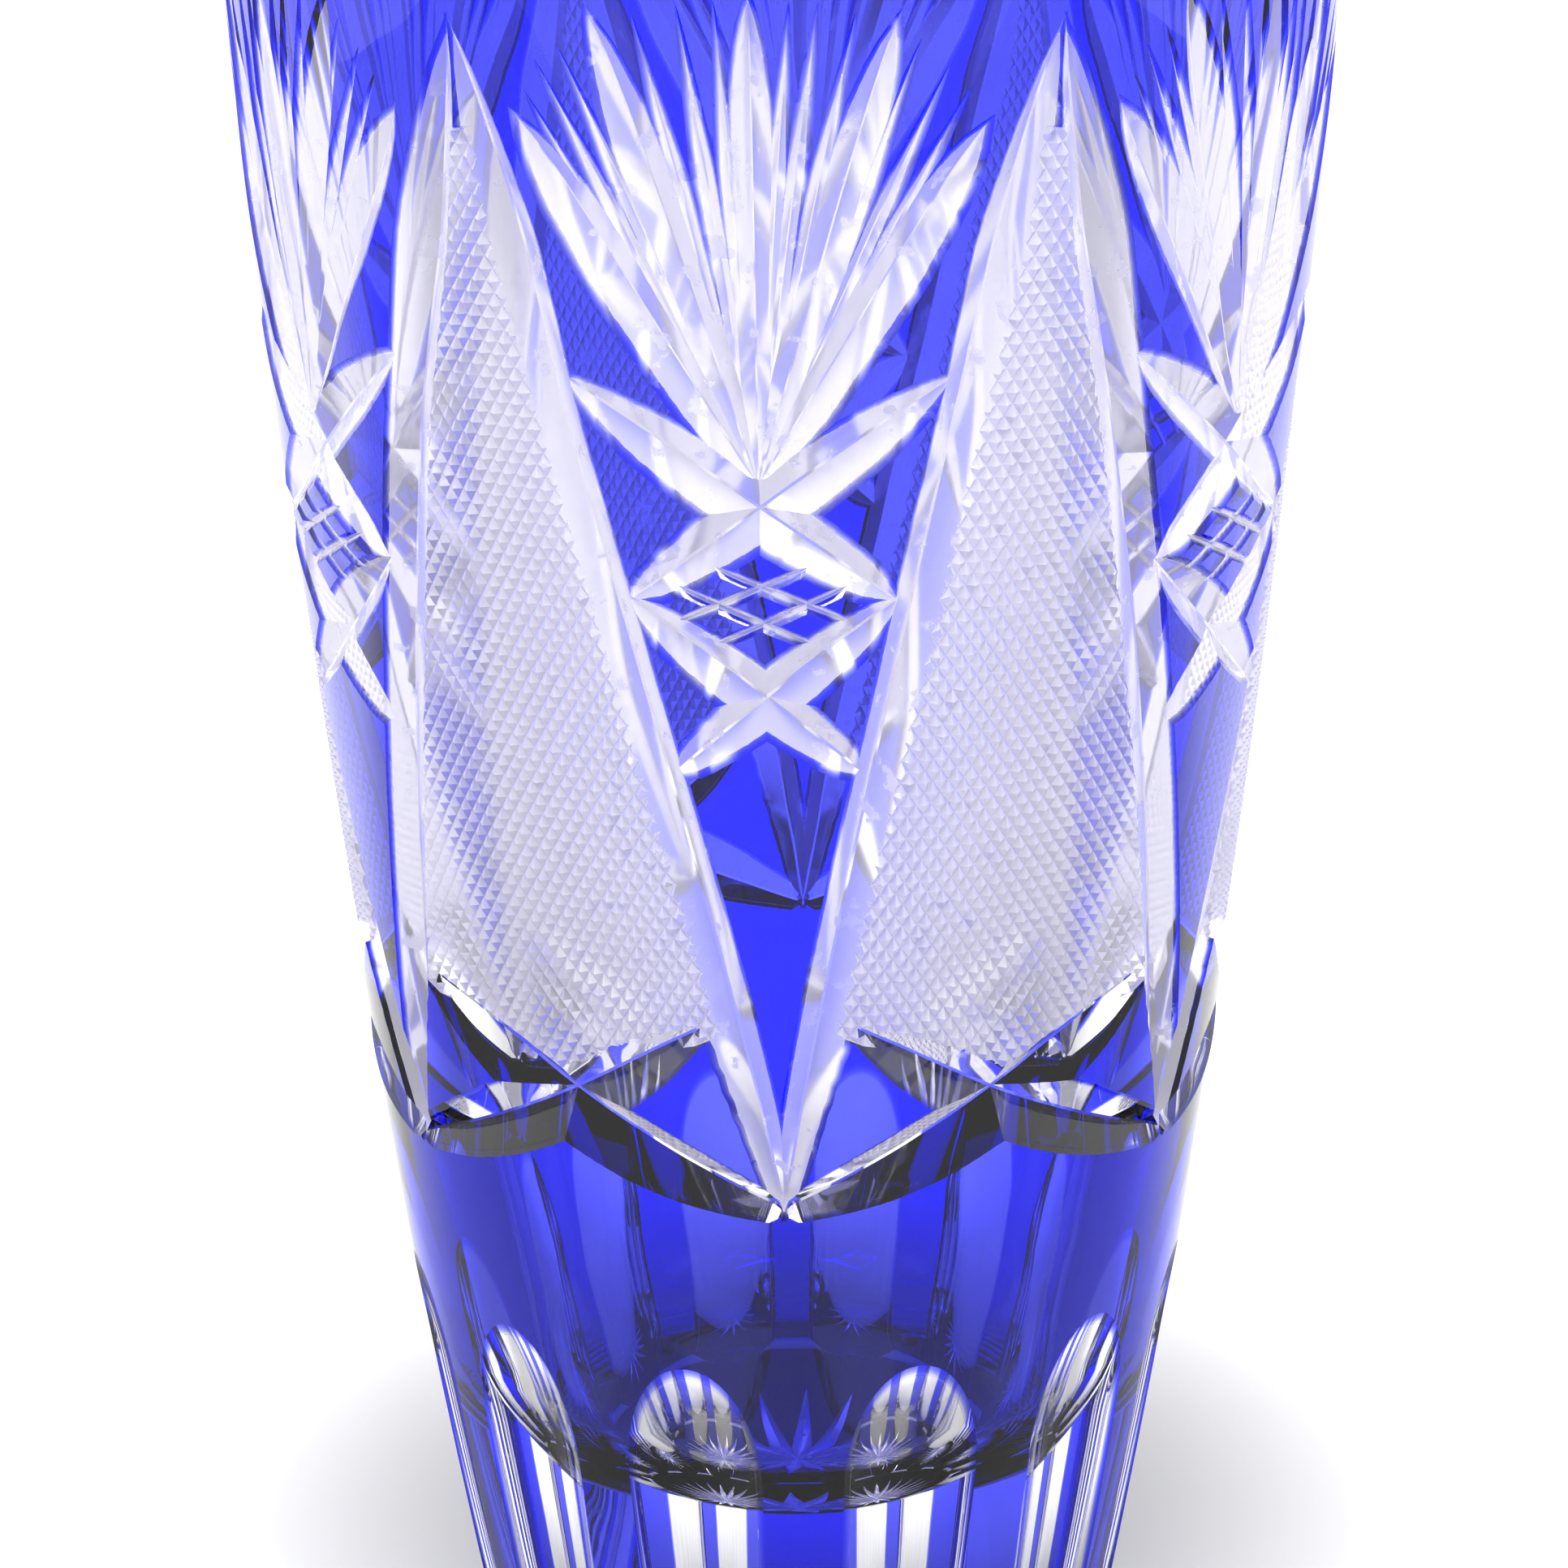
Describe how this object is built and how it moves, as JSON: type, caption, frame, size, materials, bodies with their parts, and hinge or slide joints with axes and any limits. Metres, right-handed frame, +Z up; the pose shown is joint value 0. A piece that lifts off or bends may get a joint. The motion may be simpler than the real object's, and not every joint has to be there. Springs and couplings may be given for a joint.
{
  "type": "cut crystal vase",
  "caption": "Tall flared vase of heavy clear crystal with blue glass casing cut through into spires, fans, crosses and base flutes.",
  "frame": {"origin": "centre of the resting face, on the vase's axis", "axes": "+Z up along the vase's axis; -Y towards the middle of the first column of cuts"},
  "size_m": [0.1644, 0.1644, 0.3],
  "materials": {
    "clear_crystal": "polished clear lead crystal, finely ground in the hatched fields",
    "blue_casing": "polished cobalt-blue glass casing, fused to the clear body"
  },
  "bodies": {
    "root": {"crystal_body": "clear_crystal", "collar_casing": "blue_casing", "foot_casing": "blue_casing", "upper_wedges_1": "blue_casing", "upper_wedges_2": "blue_casing", "upper_wedges_3": "blue_casing", "upper_wedges_4": "blue_casing", "upper_wedges_5": "blue_casing", "upper_wedges_6": "blue_casing", "diamond_lattice_1": "blue_casing", "diamond_lattice_2": "blue_casing", "diamond_lattice_3": "blue_casing", "diamond_lattice_4": "blue_casing", "diamond_lattice_5": "blue_casing", "diamond_lattice_6": "blue_casing", "lower_wedges_1": "blue_casing", "lower_wedges_2": "blue_casing", "lower_wedges_3": "blue_casing", "lower_wedges_4": "blue_casing", "lower_wedges_5": "blue_casing", "lower_wedges_6": "blue_casing", "shield_1": "blue_casing", "shield_2": "blue_casing", "shield_3": "blue_casing", "shield_4": "blue_casing", "shield_5": "blue_casing", "shield_6": "blue_casing", "base_triangles_1": "blue_casing", "base_triangles_2": "blue_casing", "base_triangles_3": "blue_casing", "base_triangles_4": "blue_casing", "base_triangles_5": "blue_casing", "base_triangles_6": "blue_casing"}
  },
  "joints": []
}
